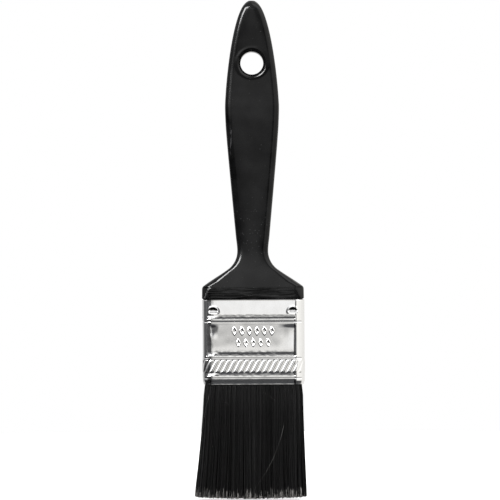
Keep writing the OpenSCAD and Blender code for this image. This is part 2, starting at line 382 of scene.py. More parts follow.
def sawn_wood():
    """Plain softwood with its grain across the width and a sawn surface."""
    material, tree, shader = new_material("sawn_softwood")
    grain = noise(tree, 0.9, 4, (0.08, 1, 1))
    fibre = noise(tree, 0.2, 2, (0.1, 1, 1))
    colour = mix(tree, stretch(tree, grain, 0.35, 0.65), (0.52, 0.36, 0.2), (0.34, 0.21, 0.1))
    rough = stretch(tree, fibre, 0.3, 0.7, 0.6, 0.8)
    feed(tree, shader, {"Base Color": colour, "Roughness": rough, "Normal": bump(tree, fibre, 0.04)})
    return material


# ---- handle

NOSE = 0.2            # half width and half depth of the blunt tip of the nose
EDGE_R = 2.1          # radius of the handle's long edges
CROWN = 0.12          # how much the faces fall away from their middle to their edges
SHOULDER_BAND = 4.6   # height of the upright band at the shoulder's foot
FOOT_CORNER_R = 1.2   # the band's corners, at its foot and at its upper edge
BAND_CORNER_R = 3.5
SLOPE_EDGE_R = 3.4    # the edges half way up the shoulder's slope
HOLE_R = 4.3          # the hanging hole
RIM_W = 1.4           # width and depth of the flare round the hole
RIM_DEPTH = 1.2
LIP_HEIGHT = 0.11     # how far the lip round the flare stands out of the face
LIP_FALL = 0.8        # width over which it falls back to the face
RING_STEP = 0.3       # distance between rings of points
SOFTEN_RINGS = 14     # rings to each side over which the start of the neck's flare is softened
SOFTEN_FROM = (9, 13)      # heights above the shoulder's foot over which the softening sets in
SOFTEN_UNTIL = (26, 30)    # and over which it ends
FOOT_GAP = 0.02       # height of the shoulder's foot above the ferrule
TANG_GAP = 0.6        # the tang is this much smaller all round than the space in the ferrule
TANG_LENGTH = SHOULDER_FOOT - handle_low[2]


def lofted_rings(node, above):
    """Height, half width and half depth of each level section of a lofted CAD node, from the top down."""
    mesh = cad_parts[node].data
    points = np.zeros(len(mesh.vertices) * 3)
    mesh.vertices.foreach_get("co", points)
    points = np.unique(np.round(points.reshape(-1, 3) / MM, 3), axis=0)
    full_ring = 16            # a level with fewer points is only where the hole cuts the faces
    rings = []
    for z in np.unique(points[:, 2])[::-1]:
        level = points[np.abs(points[:, 2] - z) < 0.002]
        if z > above and len(level) >= full_ring:
            rings.append((z, np.abs(level[:, 0]).max(), np.abs(level[:, 1]).max()))
    return np.array(rings)


def section_pattern(long_side, short_side, corner):
    """A rounded rectangle as rows of [x share, y share, x of the corner, y of the corner].

    A point lies at its shares of the straight half sides plus the corner radius times its corner
    place. Each side and the corner after it are the first ones turned by a further 90 degrees.
    """
    rows = []
    for turn, (cos, sin) in enumerate(((1, 0), (0, 1), (-1, 0), (0, -1))):
        steps = long_side if turn % 2 else short_side
        for i in range(steps):
            along = -1 + 2 * i / steps
            rows.append((cos - sin * along, sin + cos * along, cos, sin))
        for i in range(corner):
            angle = math.radians(90 * (turn + i / corner))
            rows.append((cos - sin, sin + cos, math.cos(angle), math.sin(angle)))
    return np.array(rows)


def sections(pattern, z, half_w, half_d, r, crown):
    """Rings of points for arrays of heights, half widths, half depths and edge radii."""
    r = np.minimum(r, 0.96 * np.minimum(half_w, half_d))[:, None]
    share_x, share_y, corner_x, corner_y = pattern.T
    x = share_x * (half_w[:, None] - r) + corner_x * r
    y = share_y * (half_d[:, None] - r) + corner_y * r - np.sign(corner_y) * crown * share_x ** 2
    return np.stack([x, y, np.broadcast_to(z[:, None], x.shape)], -1)


def add_lip(grip):
    """Raises the faces of the handle in a lip round the hanging hole."""
    away = np.hypot(grip[..., 0], grip[..., 2])
    crest = HOLE_R + RIM_W
    half_d = np.abs(grip[..., 1]).max(1, keepdims=True)
    on_face = ease(0.75, 0.95, np.abs(grip[..., 1]) / half_d)
    lift = LIP_HEIGHT * (1 - ease(crest - 0.1, crest + LIP_FALL, away)) * on_face
    grip[..., 1] += np.sign(grip[..., 1]) * lift


def softened(values):
    """The values averaged over their neighbours, so that a kink in them becomes a bend."""
    window = np.hanning(2 * SOFTEN_RINGS + 1)
    padded = np.pad(values, SOFTEN_RINGS, "edge")
    return np.convolve(padded, window / window.sum(), "valid")


def hole_cutter(rings):
    """A bobbin along Y: the bore, opening out in a rounded flare up to the lip at each face."""
    at_hole = np.interp(0, rings[::-1, 0], rings[::-1, 2])
    wall, crest = at_hole - RIM_DEPTH, at_hole + LIP_HEIGHT
    share = np.linspace(0, 1, 10)
    flare_r = HOLE_R + RIM_W * share
    flare_y = wall + (crest - wall) * (1 - (1 - share) ** 1.6) ** 0.8
    beyond = [[flare_r[-1] + RIM_W, crest + RIM_DEPTH]]
    half = np.concatenate([np.stack([flare_r, flare_y], -1), beyond])
    profile = np.concatenate([half[::-1] * [1, -1], half])
    angle = np.linspace(0, 2 * math.pi, 96, endpoint=False)
    x = profile[:, :1] * np.cos(angle)
    z = profile[:, :1] * np.sin(angle)
    y = np.broadcast_to(profile[:, 1:], x.shape)
    return rings_object("hole_cutter", np.stack([x, y, z], -1))


def edge_radii(above_foot):
    """Radius of the long edges at a height above the shoulder's foot."""
    band, slope = SHOULDER_BAND, SHOULDER_BAND + 2.2
    heights = [0, band - 0.3, band + 0.3, slope, band + 6]
    radii = [FOOT_CORNER_R, BAND_CORNER_R, EDGE_R + 0.6, SLOPE_EDGE_R, EDGE_R]
    return np.interp(above_foot, heights, radii)


def tang_rings(pattern, foot_z):
    """The tang, from the shoulder's foot down."""
    z = np.array([foot_z, FERRULE_TOP - 2, SHOULDER_FOOT - TANG_LENGTH])
    wide, deep = HALF_W - SHEET - TANG_GAP, HALF_D - SHEET - TANG_GAP
    return sections(pattern, z, np.full(3, wide), np.full(3, deep), np.full(3, CORNER_R - SHEET), 0.0)


def make_handle():
    """The handle, lofted through the CAD handle's sections, with its hole and the tang's pockets."""
    rings = lofted_rings("handle", SHOULDER_FOOT - 0.01)
    rings = np.concatenate([[[handle_high[2], NOSE, NOSE]], rings])
    run = np.concatenate([[0], np.cumsum(np.linalg.norm(np.diff(rings, axis=0), axis=1))])
    at = np.linspace(0, run[-1], int(run[-1] / RING_STEP))
    z, half_w, half_d = (curve(run, rings[:, k], at) for k in range(3))
    above_foot = z - SHOULDER_FOOT
    neck = ease(*SOFTEN_FROM, above_foot) * (1 - ease(*SOFTEN_UNTIL, above_foot))
    half_d = half_d + (softened(half_d) - half_d) * neck
    pattern = section_pattern(long_side=30, short_side=10, corner=8)
    grip = sections(pattern, z, half_w, half_d, edge_radii(above_foot), CROWN)
    add_lip(grip)
    foot_z = FERRULE_TOP + FOOT_GAP
    foot = grip[-1:] * [1, 1, 0] + [0, 0, foot_z]
    handle = rings_object("handle_shell", np.concatenate([grip, foot, tang_rings(pattern, foot_z)]))
    cut(handle, hole_cutter(rings), *(stake_pocket(*stake) for stake in STAKES))
    handle.data.set_sharp_from_angle(angle=math.radians(20))
    return handle


# ---- ferrule

FLAT_W, FLAT_D = HALF_W - CORNER_R, HALF_D - CORNER_R     # half lengths of the flat faces
ARC = math.pi / 2 * CORNER_R
GIRTH = 4 * (FLAT_W + FLAT_D + ARC)
HEIGHT = FERRULE_TOP - MOUTH

ROPE_MIDDLE, ROPE_HALF = 24.9, 2.4    # distance below the ferrule's top, and half height
ROPE_RIBS = 43                        # all the way round
ROPE_LEAN = math.radians(27)
SEAM_HALF, SEAM_LIFT = 2.1, 0.3       # half width and height of the lapped strip on the right
PANEL_DISH = 0.24                     # how deep the panel's ends are dished at most
TIP_SLOPE = 0.15                      # how much the turned up slopes above the beads rise

# Staked tabs: centre of the arc across and below the ferrule's top, radius, height of the fold from
# the centre, angle of the fold, and height and width of the lip round the tab
STAKE_X, STAKE_DROP, STAKE_R, STAKE_CHORD = 14.9, 4.5, 1.8, -0.6
STAKE_FOLD = math.radians(30)
STAKE_LIP, STAKE_LIP_W = 0.065, 0.4
# Each tab as -1 left or 1 right, and -1 front or 1 back
STAKES = [(x, side) for x in (-1, 1) for side in (-1, 1)]

# Rows of lozenges: gaps between them, distance below the ferrule's top, width and height
LOZENGE_PITCH = 2.8
LOZENGE_ROWS = [(5, 11.7, 2.5, 4.3), (4, 16.1, 2.2, 3.8)]
# From a lozenge's rim to its middle: share of its size, and how far it stands out of the sheet
LOZENGE_PROFILE = [(1.0, -0.12), (1.0, 0.0), (0.88, 0.1), (0.78, 0.165), (0.7, 0.165), (0.52, 0.07),
                   (0.34, 0.015), (0.12, 0.01)]

# The pressed bands as [distance below the ferrule's top, height of the sheet], on the flat faces
BANDS = [
    (0.0, 0.015), (0.35, 0.0), (5.35, 0.0), (5.6, -0.006), (5.9, -0.019), (6.5, -0.048), (6.8, -0.08),
    (7.07, -0.102), (7.1, -0.105), (7.15, -0.038), (7.5, -0.046), (7.78, -0.0555), (7.84, -0.065),
    (8.2, -0.152), (8.26, -0.164), (8.33, -0.05), (8.6, -0.058), (9.0, -0.068), (9.4, -0.081),
    (9.8, -0.092), (13.5, -0.197), (17.5, -0.298), (19.15, -0.324), (19.55, -0.335), (19.9, -0.366),
    (20.3, -0.404), (20.65, -0.426), (21.05, -0.445), (21.1, -0.05), (21.4, -0.0535), (21.75, -0.07),
    (21.8, -0.004), (22.15, -0.0115), (22.5, -0.027), (22.6, -0.03), (27.15, -0.03), (27.42, -0.057),
    (27.8, -0.085), (28.18, -0.107), (28.5, -0.115), (28.55, -0.04), (28.93, -0.043), (29.31, -0.062),
    (29.7, -0.0665), (29.78, -0.075), (31.3, -0.51), (31.7, -0.53),
]
# The same bands where they run out round the corners, as faint lines
FAINT_BANDS = [
    (0.0, -0.06), (0.35, 0.0), (7.9, 0.0), (8.28, -0.1), (8.6, 0.0), (21.5, 0.0), (21.8, -0.07),
    (22.1, 0.0), (29.0, 0.0), (29.35, -0.07), (29.7, 0.0), (30.2, 0.0), (31.2, -0.3), (31.7, -0.4),
]
# How far apart the ferrule's rows of points are, as [distance below the top where it ends, spacing]
ROW_ZONES = [
    (1.6, 0.25), (5.3, 0.2), (7.1, 0.15), (8.2, 0.05), (8.33, 0.065), (10.8, 0.16), (19.2, 0.4),
    (21.05, 0.14), (21.1, 0.05), (21.7, 0.15), (21.8, 0.05), (22.4, 0.15), (22.9, 0.1), (27.1, 0.17),
    (28.5, 0.14), (28.6, 0.05), (29.7, 0.14), (HEIGHT, 0.16),
]
# Distances below the top between which the sheet is drawn in, and so left slightly hammered
DRAWN = [(5.6, 7.1), (19.3, 21.0), (26.8, 28.5), (29.8, 31.7)]
# Distances below the top of the dark slopes above the beads
SLOPES = [(5.9, 7.1), (19.6, 21.05), (27.3, 28.5)]


def around(q):
    """Place and outward direction on the plain sheet at a distance q round it from the front's middle.

    q grows towards +X across the front, then over the right side, the back and the left side.
    """
    place, out = np.zeros((2, *q.shape, 2))
    left = (q + FLAT_W) % GIRTH
    lengths = [2 * FLAT_W, ARC, 2 * FLAT_D, ARC] * 2
    corners = np.array([(1, -1), (1, 1), (-1, 1), (-1, -1)]) * [FLAT_W, FLAT_D]
    begin = 0.0
    for k, length in enumerate(lengths):
        here = (left >= begin) & (left < begin + length)
        s = left[here] - begin
        side, on_arc = divmod(k, 2)
        normal = on_circle(math.radians(90 * side - 90) + on_arc * s / CORNER_R)
        back = (1 - on_arc) * (length - s)[:, None]
        place[here] = corners[side] + CORNER_R * normal - back * normal[:, ::-1] * [-1, 1]
        out[here] = normal
        begin += length
    return place, out


def from_middle(q, face):
    """Signed distance round the sheet from the middle of a face: 0 front, 1 right, 2 back, 3 left."""
    return (q - face * GIRTH / 4 + GIRTH / 2) % GIRTH - GIRTH / 2


def on_faces(q):
    """How fully the bands are pressed: 1 on all faces but the seam's, 0 round the corners."""
    share = np.zeros_like(q)
    for face, towards_seam in ((0, 1), (2, -1)):
        along = from_middle(q, face) * towards_seam
        share = np.maximum(share, (1 - ease(FLAT_W - 0.3, FLAT_W + 0.3, along))
                           * (1 - ease(FLAT_W + 1.1, FLAT_W + 2.1, -along)))
    return np.maximum(share, 1 - ease(FLAT_D - 0.3, FLAT_D + 0.7, np.abs(from_middle(q, 3))))


def on_corners(q):
    """1 round the corners of the sheet, falling to 0 on its flat faces."""
    share = np.zeros_like(q)
    for middle in (FLAT_W + ARC / 2, FLAT_W + 2 * FLAT_D + 1.5 * ARC):
        for sign in (-1, 1):
            away = np.abs((q - sign * middle + GIRTH / 2) % GIRTH - GIRTH / 2)
            share = np.maximum(share, 1 - ease(ARC / 2, ARC / 2 + 1.5, away))
    return share


def rope(q, s):
    """Leaning ribs with rounded backs and ends, between narrow furrows."""
    pitch = GIRTH / ROPE_RIBS
    phase = ((q + (s - ROPE_MIDDLE) * math.tan(ROPE_LEAN)) / pitch) % 1
    back = 1 - np.abs(2 * phase - 1) ** 2.2
    sharpness = np.where(s < ROPE_MIDDLE, 20, 10)
    end = np.clip(1 - np.abs((s - ROPE_MIDDLE) / ROPE_HALF) ** sharpness, 0, 1)
    return end * (0.2 * back - 0.09)


def panel(q, s):
    """The front panel's ends are dished below its upper edge, mostly at the seam's side."""
    far_end = 0.5 * ease(12.6, 15.6, -q) * (1 - ease(10.4, 15.0, s))
    seam_end = 0.7 * ease(8.5, 15.5, q) * (1 - ease(11.0, 19.0, s))
    return -PANEL_DISH * (far_end + seam_end) * ease(9.0, 10.6, s) * (np.abs(q) < FLAT_W + 0.3)


def dishes(q, s):
    """The raised lip round each staked tab, above the tab's fold."""
    height = np.zeros(np.broadcast(q, s).shape)
    up = STAKE_DROP - s
    for x, side in STAKES:
        across = from_middle(q, 1 + side) - x * STAKE_X
        lip = np.exp(-(((np.hypot(across, up) - STAKE_R - 0.1) / STAKE_LIP_W) ** 2))
        height += STAKE_LIP * lip * ease(STAKE_CHORD - 0.3, STAKE_CHORD + 0.4, up)
    return height


def tipped_ends(q, s):
    """Makes the slopes above the beads face up, away from the seam.

    That is at the left end of the front, on the left side, and on the back from its middle leftwards.
    """
    lift = np.zeros(np.broadcast(q, s).shape)
    for low, high in SLOPES:
        lift += TIP_SLOPE * (s - low) * ((s >= low) & (s < high)) * ease(12.4, 15.2, -q)
    return lift


def eased_ends(q):
    """Lets both broad faces fall a little where they run into the corners away from the seam."""
    fall = np.zeros(q.shape)
    for face, side in ((0, -1), (2, 1)):
        away = from_middle(q, face)
        fall -= 0.05 * ease(FLAT_W - 1.3, FLAT_W + 1.3, side * away) * (np.abs(away) < FLAT_W + ARC)
    return fall


def seam_lap(q):
    """The lapped strip on the right side, with a sharp edge at the front and a soft one behind."""
    across = from_middle(q, 1)
    front = ease(-SEAM_HALF - 0.15, -SEAM_HALF, across)
    return SEAM_LIFT * (front - ease(SEAM_HALF, SEAM_HALF + 1.2, across))


def hammer_marks(q, s, share):
    """Small dents where the sheet is drawn in, and fainter ones on the corners."""
    drawn = sum(ease(low - 0.3, low + 0.3, s) - ease(high - 0.3, high + 0.3, s) for low, high in DRAWN)
    wave = 0.01 * ripple(q, s, 2.4, 6, GIRTH) + 0.004 * ripple(q, s, 1.1, 7, GIRTH)
    return wave * np.maximum(drawn * share, 0.65 * on_corners(q))


def sheet_height(q, s):
    """How far the outside of the sheet stands out at a place round it and a distance below its top."""
    share = on_faces(q)
    bands = share * curve(*zip(*BANDS), s) + (1 - share) * curve(*zip(*FAINT_BANDS), s)
    across = from_middle(q, 0)
    pressed = bands + rope(q, s) + panel(across, s) + dishes(q, s) + share * tipped_ends(across, s)
    uneven = 0.004 * ripple(q, s, 6, 5, GIRTH) + hammer_marks(q, s, share)
    return pressed + seam_lap(q) + eased_ends(q) + uneven


def row_places():
    """Distances below the ferrule's top of its rows of points."""
    rows, start = [], 0.0
    for end, spacing in ROW_ZONES:
        rows.append(np.linspace(start, end, max(2, round((end - start) / spacing)), endpoint=False))
        start = end
    return np.concatenate(rows + [[HEIGHT]])


def ring_points(place, out, heights, drops):
    """Rings of points at heights off the plain sheet, one ring for each distance below its top."""
    flat = place[None] + out[None] * heights[..., None]
    z = np.broadcast_to((FERRULE_TOP - drops)[:, None, None], flat.shape[:2] + (1,))
    return np.concatenate([flat, z], -1)


def make_ferrule():
    """The sheet: its outside down to the mouth, then its inside back up to the top."""
    columns = ROPE_RIBS * 9
    q = np.arange(columns) * GIRTH / columns
    place, out = around(q)
    rows = row_places()
    inner_rows = np.append(rows[:0:-4], 0.0)
    drops = np.concatenate([rows, inner_rows])
    thickness = np.repeat([0, SHEET], [len(rows), len(inner_rows)])
    heights = sheet_height(q[None, :], drops[:, None]) - thickness[:, None]
    points = ring_points(place, out, heights, drops)
    total = len(points)
    last = (total - 1) * columns
    ring = np.arange(columns)
    closing = np.stack([last + ring, last + np.roll(ring, -1), np.roll(ring, -1), ring], -1)
    quads = np.concatenate([strip_faces(total, columns), closing])
    ferrule = new_object("ferrule_sheet", points.reshape(-1, 3), quads)
    cut(ferrule, *(stake_opening(*stake) for stake in STAKES))
    join(ferrule, *(stake_tab(*stake) for stake in STAKES), *panel_marks())
    ferrule.data.set_sharp_from_angle(angle=math.radians(50))
    return ferrule


def make_resin():
    """The resin, cast against the inside of the ferrule and so following its pressed bands."""
    columns = ROPE_RIBS * 4
    q = np.arange(columns) * GIRTH / columns
    place, out = around(q)
    z = np.linspace(resin_high[2], resin_low[2], 60)
    heights = sheet_height(q[None, :], (FERRULE_TOP - z)[:, None]) - SHEET - 2 * SLIP
    rings = ring_points(place, out, heights, FERRULE_TOP - z)
    top = rings[0] * [0.97, 0.92, 1] - [0, 0, 0.25]
    bottom = rings[-1] * [0.98, 0.95, 1]
    resin = rings_object("cast_resin", np.concatenate([top[None], rings, bottom[None]]))
    resin.data.set_sharp_from_angle(angle=math.radians(50))
    return resin


def panel_marks():
    """Two rows of raised upright lozenges on the front, in place of any lettering."""
    marks = []
    for gaps, drop, width, tall in LOZENGE_ROWS:
        for i in range(gaps + 1):
            marks.append(lozenge((i - gaps / 2) * LOZENGE_PITCH, drop, width, tall))
    return marks


def lozenge(x, drop, width, tall):
    """A raised lozenge with a hollow middle, standing on the front of the sheet."""
    base = HALF_D + float(sheet_height(np.array([x % GIRTH]), np.array([drop]))[0])
    corners = np.array([[1, 0], [0, 1], [-1, 0], [0, -1]], float)
    steps = np.linspace(0, 1, 5)[:-1, None]
    outline = np.concatenate([a + (b - a) * steps for a, b in zip(corners, np.roll(corners, -1, 0))])
    blunted = 1 - 0.12 * (np.abs(outline).max(1, keepdims=True) > 0.95)
    outline = outline * [width / 2, tall / 2] * blunted
    rings = []
    for size, lift in LOZENGE_PROFILE:
        x_here, z_here = x + outline[:, 0] * size, FERRULE_TOP - drop + outline[:, 1] * size
        rings.append(np.stack([x_here, np.full(len(outline), -(base + lift)), z_here], -1))
    return rings_object("lozenge", np.array(rings))


def half_moon(r):
    """Outline in x and height of the part of a disc above the fold of a staked tab."""
    low = math.asin(STAKE_CHORD / r)
    angle = np.linspace(low, math.pi - low, 33)
    return r * on_circle(angle)


def through_sheet(name, x, side, outline, start, end):
    """A prism along Y at one staked tab, between two distances outwards from the plain sheet."""
    z = FERRULE_TOP - STAKE_DROP + outline[:, 1]
    rings = [np.stack([x * STAKE_X + outline[:, 0], np.full(len(z), side * (HALF_D + out)), z], -1)
             for out in (start, end)]
    return rings_object(name, np.array(rings))


def stake_opening(x, side):
    """The half-round opening of one staked tab in the sheet."""
    return through_sheet("opening", x, side, half_moon(STAKE_R), -1.6, 1.6)


def stake_pocket(x, side):
    """The round pocket in the tang under one staked tab."""
    outline = (STAKE_R + 0.2) * on_circle(np.linspace(0, 2 * math.pi, 32, endpoint=False))
    return through_sheet("pocket", x, side, outline, -0.2, -2.3)


def stake_tab(x, side):
    """The half-round tab, folded inwards about its chord and slightly cupped."""
    outline = half_moon(STAKE_R - 0.06)
    middle = np.array([0, STAKE_CHORD + 0.5])
    rings = [outline * share + (1 - share) * middle for share in (0.02, 0.25, 0.5, 0.75, 1.0)]

    def bent(flat, thickness):
        up = flat[:, 1] - STAKE_CHORD
        fold = STAKE_FOLD * ease(0, 0.7, up)
        deep = up * np.sin(fold) + thickness * np.cos(fold)
        z = STAKE_CHORD + up * np.cos(fold) - thickness * np.sin(fold)
        return np.stack([flat[:, 0], deep, z], -1)

    outside = [bent(ring, 0.02) for ring in rings]
    inside = [bent(ring, SHEET) for ring in rings[::-1]]
    points = np.array(outside + inside)
    points[..., 0] += x * STAKE_X
    points[..., 1] = side * (HALF_D - points[..., 1])
    points[..., 2] += FERRULE_TOP - STAKE_DROP
    return rings_object("tab", points)


# ---- filaments

FILAMENT_R = 0.109       # thicker than a real one, so that fewer of them fill the pack
SQUEEZE = 0.6            # how far the ferrule's lip and bands press the filaments together
PACK_W, PACK_D = HALF_W - SHEET - SQUEEZE, HALF_D - SHEET - SQUEEZE  # half sizes at the mouth
FILAMENT_GAP = 0.245     # distance from one filament to the next where they leave the ferrule
# Shares of the free length where a filament has a ring of points, and -1 for its root
PLACES = np.array([-1.0, 0.0, 0.1, 0.26, 0.46, 0.7, 0.94, 0.96, 1.0])
# How thick a filament is at each of those rings
TAPER = np.array([1.0, 1.0, 1.0, 1.0, 1.0, 0.97, 0.92, 0.8, 0.4])
SIDES = 3
CLUMPS = 420             # in each bank


def tubes(paths, radii, twist):
    """Points and faces of thin closed tubes: paths is (tubes, places, 3), radii is (tubes, places)."""
    count, places = radii.shape
    angle = twist[:, None, None] + 2 * math.pi * np.arange(SIDES) / SIDES
    ring = np.stack([np.cos(angle), np.sin(angle), np.zeros_like(angle)], -1)
    points = paths[:, :, None, :] + radii[:, :, None, None] * ring
    each = places * SIDES
    start = (np.arange(count) * each)[:, None, None]
    quads = (start + strip_faces(places, SIDES)[None]).reshape(-1, 4)
    cap = np.array([[2, 1, 0], [each - 3, each - 2, each - 1]])
    return points.reshape(-1, 3), quads, (start + cap[None]).reshape(-1, 3)


def root_places(rng):
    """Jittered close packing of one bank's filaments in its half of the mouth, as x and depth."""
    depths = np.arange(0.2, PACK_D, FILAMENT_GAP * 0.866)
    rows = []
    for i, depth in enumerate(depths):
        xs = np.arange(-PACK_W, PACK_W, FILAMENT_GAP) + (i % 2) * FILAMENT_GAP / 2
        rows.append(np.stack([xs, np.full(len(xs), depth)], -1))
    places = np.concatenate(rows) + rng.uniform(-0.35, 0.35, (sum(map(len, rows)), 2)) * FILAMENT_GAP
    r = CORNER_R - SHEET - SQUEEZE
    over = np.stack([np.abs(places[:, 0]) - (PACK_W - r), places[:, 1] - (PACK_D - r)])
    return places[np.hypot(*np.maximum(over, 0)) < r]


def clumped(rng, root):
    """The place, drift, shortness, shade and paleness of the clump that each filament belongs to."""
    places = np.stack([rng.uniform(-HALF_W, HALF_W, CLUMPS), rng.uniform(0, HALF_D, CLUMPS)], -1)
    nearest = np.argmin(((root[:, None] - places[None]) ** 2).sum(-1), 1)
    drift = rng.normal(0, [0.3, 0.28], (CLUMPS, 2))
    shortness = rng.normal(0, 0.22, CLUMPS)
    shade = rng.random(CLUMPS)
    paleness = rng.random(CLUMPS)
    return [values[nearest] for values in (places, drift, shortness, shade, paleness)]


def depth_kept(t):
    """How much of its depth the pack keeps at a share of its free length."""
    return 1 - 0.3 * ease(0.0, 1.1, t)


def spread(rng, root, t, clump, clump_drift):
    """Places across and depths of the filaments at shares t of their free length.

    Below the lip the pack swells again, spreads more to the left than to the right, and thins. Each
    clump draws its filaments together and drifts, and a few filaments stray.
    """
    share = root[:, :1] / PACK_W
    swell = (SQUEEZE - 0.15) * ease(-0.02, 0.06, t)
    left = (-HALF_W - free_low[0]) + SHEET
    right = (free_high[0] - HALF_W) + SHEET
    reach = np.abs(share) ** 1.2
    wide = np.where(share < 0, -left * reach * t ** 1.5, right * reach * t ** 1.2)
    pull = 0.45 * t ** 1.4
    stray = np.where(rng.random(len(root)) < 0.015, 4.0, 1.0)[:, None]
    drift = clump_drift + rng.normal(0, 0.12, root.shape) * stray
    x = root[:, :1] + wide + swell * share + (clump[:, :1] - root[:, :1]) * pull
    depth = root[:, 1:] * (1 + swell / HALF_D) + (clump[:, 1:] - root[:, 1:]) * pull
    depth = (depth + drift[:, 1:] * t ** 1.2) * depth_kept(t)
    return x + drift[:, :1] * t ** 1.5, np.clip(depth, 0.05, None)


def end_heights(rng, root, clump_short):
    """Heights of the filaments' ends. The pack's sides end a little higher than its middle."""
    count = len(root)
    short = np.abs(rng.normal(0, 0.3, count))
    short = short + np.where(rng.random(count) < 0.05, rng.uniform(0, 1.5, count), 0)
    higher = 0.6 * (root[:, 0] / PACK_W) ** 2
    return TIPS + 0.2 + higher + np.clip(short + clump_short, 0, 3)


def filament_shades(rng, root, seed, clump_shade, clump_pale):
    """How light each filament is, and how pale its end."""
    count = len(root)
    broad = 0.5 + 0.5 * ripple(root[:, 0], np.zeros(count), 7, seed)
    shade = 0.22 * broad + 0.26 * clump_shade ** 2 + 1.2 * rng.random(count) ** 9
    turned = rng.random(count) < np.where(clump_pale > 0.6, 0.5, 0.32)
    paleness = np.where(turned, rng.uniform(0.2, 1, count), rng.uniform(0, 0.06, count))
    return np.clip(shade, 0, 1), paleness


def make_bank(name, side, seed):
    """One bank of filaments: side -1 is the front and 1 is the back."""
    rng = np.random.default_rng(seed)
    root = root_places(rng)
    count = len(root)
    places = np.tile(PLACES, (count, 1))
    split = rng.uniform(0.9, 0.985, count)        # where each filament starts to split and turn pale
    places[:, -3], places[:, -2] = split, split + 0.014
    t = np.clip(places, 0, 1)
    clump, clump_drift, clump_short, clump_shade, clump_pale = clumped(rng, root)
    x, depth = spread(rng, root, t, clump, clump_drift)
    end = end_heights(rng, root, clump_short)
    z = MOUTH + (end[:, None] - MOUTH) * t
    z[:, 0] = resin_low[2] + 0.3
    radii = FILAMENT_R * rng.uniform(0.85, 1.1, (count, 1)) * TAPER
    twist = rng.uniform(0, 6, count)
    bank = new_object(name, *tubes(np.stack([x, side * depth, z], -1), radii, twist))
    shade, paleness = filament_shades(rng, root, seed, clump_shade, clump_pale)
    pale = np.where(places > split[:, None] + 0.001, paleness[:, None], 0)
    # Each filament is also made darker towards its tip.
    store_shades(bank, shade[:, None] * (1.06 - 0.4 * t), pale, t)
    return bank


def store_shades(obj, shade, pale, t):
    """Keeps the shade and paleness at each ring of points of some tubes, t being its share of the length.

    The texture coordinates are the same two numbers, spread a little so that no face is flat in them.
    """
    for name, values in (("shade", shade), ("pale", pale)):
        ringed = np.repeat(values.ravel(), SIDES).astype(np.float32)
        obj.data.attributes.new(name, "FLOAT", "POINT").data.foreach_set("value", ringed)
    corner = np.tile(np.arange(SIDES), shade.size)
    u = 0.02 + 0.94 * np.repeat(shade.ravel(), SIDES) + 0.008 * corner
    v = 0.02 + 0.9 * np.repeat(pale.ravel(), SIDES) + 0.03 * np.repeat(t.ravel(), SIDES)
    point = np.zeros(len(obj.data.loops), np.int32)
    obj.data.loops.foreach_get("vertex_index", point)
    places = np.stack([u[point], v[point]], -1).astype(np.float32)
    obj.data.uv_layers.new(name="OFBake").data.foreach_set("uv", places.ravel())


# Loose filaments and crumbs of them that lie on the front, as how pale each is (a painted highlight
# where the black filament catches the light) and its start, bend and end, each a place across and a
# distance below the mouth
STRAYS = [
    (0.16, (11.3, 15.4), (8.6, 28.4), (0.1, 39.4)),
    (0.12, (-10.6, 6.6), (-9.8, 7.0), (-9.0, 7.9)),
    (0.12, (3.6, 2.9), (6.8, 4.6), (9.7, 7.6)),
    (0.06, (-16.6, 4.2), (-18.2, 9.0), (-19.0, 16.0)),
    (0.4, (-15.1, 18.1), (-15.0, 18.2), (-15.0, 18.4)),
    (0.4, (-15.4, 23.0), (-15.4, 23.2), (-15.3, 23.4)),
    (0.3, (-19.9, 27.2), (-19.9, 27.3), (-19.8, 27.5)),
]


def make_strays(name, side, mirror):
    """Loose filaments lying on one face of the pack, painted pale as a highlight where they catch the
    light.
    """
    t = np.linspace(0, 1, 13)[:, None]
    paths = []
    for _, start, bend, end in STRAYS:
        start, bend, end = np.array(start), np.array(bend), np.array(end)
        flat = (1 - t) ** 2 * start + 2 * t * (1 - t) * bend + t ** 2 * end
        below = flat[:, 1]
        surface = (HALF_D - SHEET - 0.3) * depth_kept(below / (MOUTH - TIPS))
        lift = 0.35 + 0.55 * np.sin(math.pi * t[:, 0]) ** 0.7
        paths.append(np.stack([mirror * flat[:, 0], side * (surface + lift), MOUTH - below], -1))
    radii = np.full((len(paths), len(t)), 0.075) * (1 - 0.5 * t[:, 0])
    strays = new_object(name, *tubes(np.array(paths), radii, np.zeros(len(paths))))
    # Painted highlight: each loose filament takes the lightest shade, and a paleness that rises and falls
    # along it like glints.
    pale = np.outer([stray[0] for stray in STRAYS], 1 + 0.7 * np.cos(11 * t[:, 0]))
    store_shades(strays, np.ones_like(pale), pale, np.tile(t[:, 0], (len(STRAYS), 1)))
    return strays


# ---- build the object

def finish_piece(obj, material, slot, *nodes):
    """Gives a rigid piece its material, and puts it on the brush in place of its nodes. The slot is not
    used.
    """
    obj.data.materials.clear()
    obj.data.materials.append(material)
    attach(obj, "brush")
    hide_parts(*nodes)


finish_piece(make_handle(), plastic(), "handle_plastic", "handle")
finish_piece(make_ferrule(), tinplate(), "tinplate", "ferrule")

black_filament = filament()
for word, side, seed in (("front", -1, 11), ("back", 1, 12)):
    bank = make_bank(word + "_bank", side, seed)
    join(bank, make_strays(word + "_strays", side, -side))
    bank.data.materials.append(black_filament)
    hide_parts(word + "_filament_roots", word + "_filaments")
    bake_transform(bank)

finish_piece(make_resin(), cast_resin(), "resin", "resin_setting")

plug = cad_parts["spacer_plug"]
plug.data.materials.clear()
plug.data.materials.append(sawn_wood())


# ---- studio

